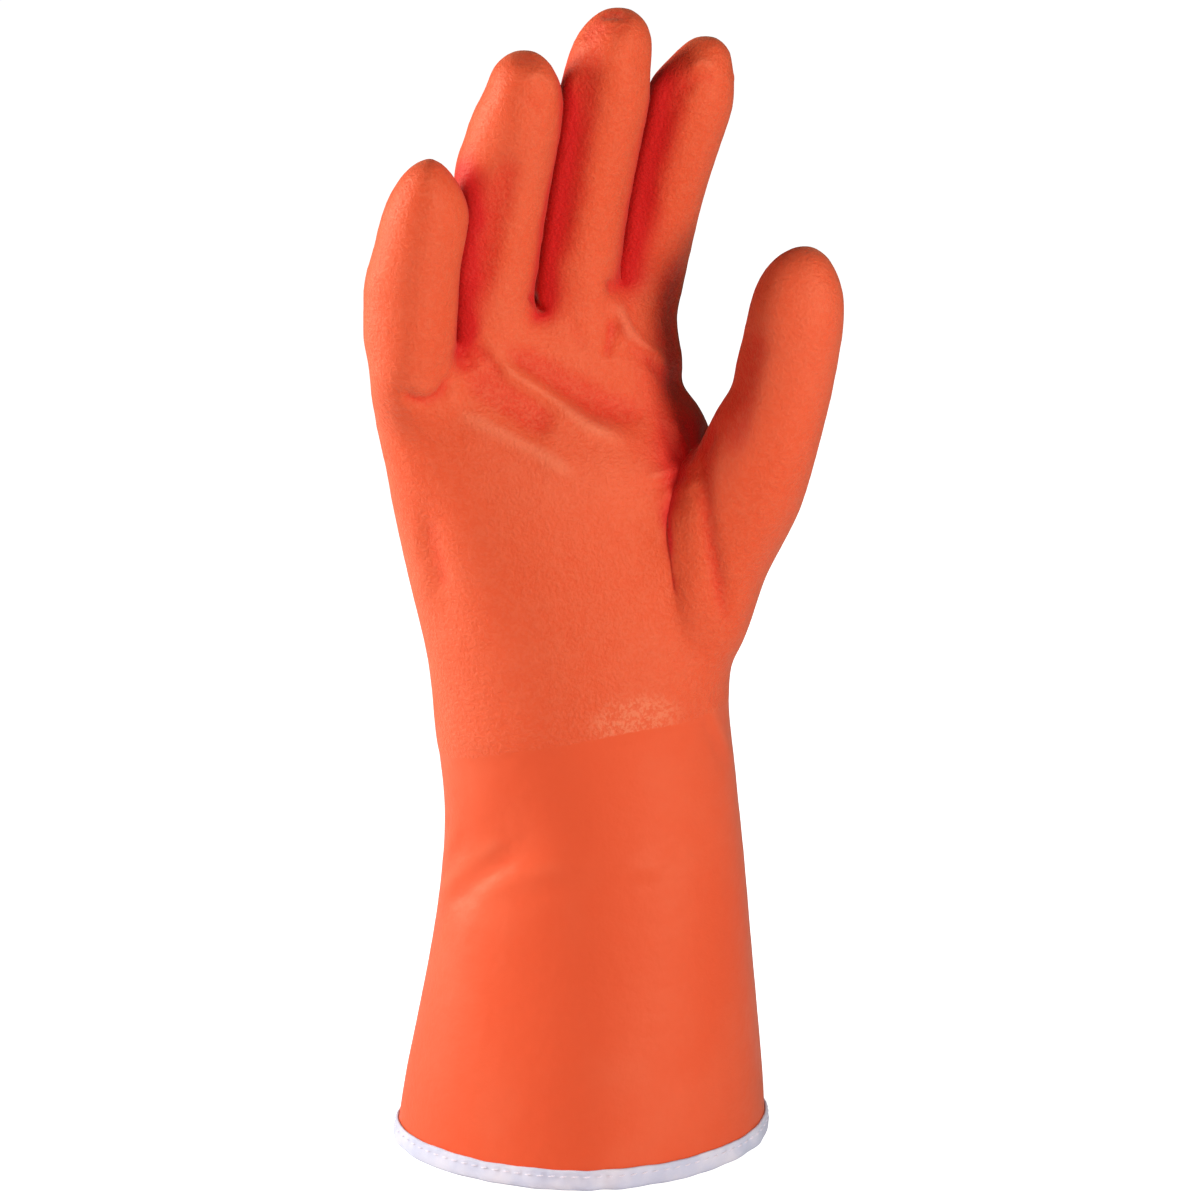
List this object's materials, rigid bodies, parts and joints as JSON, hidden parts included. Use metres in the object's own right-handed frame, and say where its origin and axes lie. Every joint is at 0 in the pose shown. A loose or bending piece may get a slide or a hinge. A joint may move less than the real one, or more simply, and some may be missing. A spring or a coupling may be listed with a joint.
{
  "type": "chemical-resistant glove",
  "caption": "Right-hand dipped work glove with a flared cuff, a rough grip coat on the hand and a sewn white tape round the hem, standing open on its hem.",
  "frame": {"origin": "on the surface that the hem stands on, at the middle of the underside of the glove's box", "axes": "+Z from the hem up to the fingertips, -Y towards the side that the palm faces, +X towards the thumb"},
  "size_m": [0.1196, 0.0812, 0.2999],
  "materials": {
    "orange_rubber": "satin orange-red dipped vinyl, smooth on the cuff and finely rough on the hand",
    "white_tape": "white woven binding tape with a row of stitches"
  },
  "bodies": {
    "root": {"glove_shell": "orange_rubber", "hem_binding": "white_tape"}
  },
  "joints": []
}
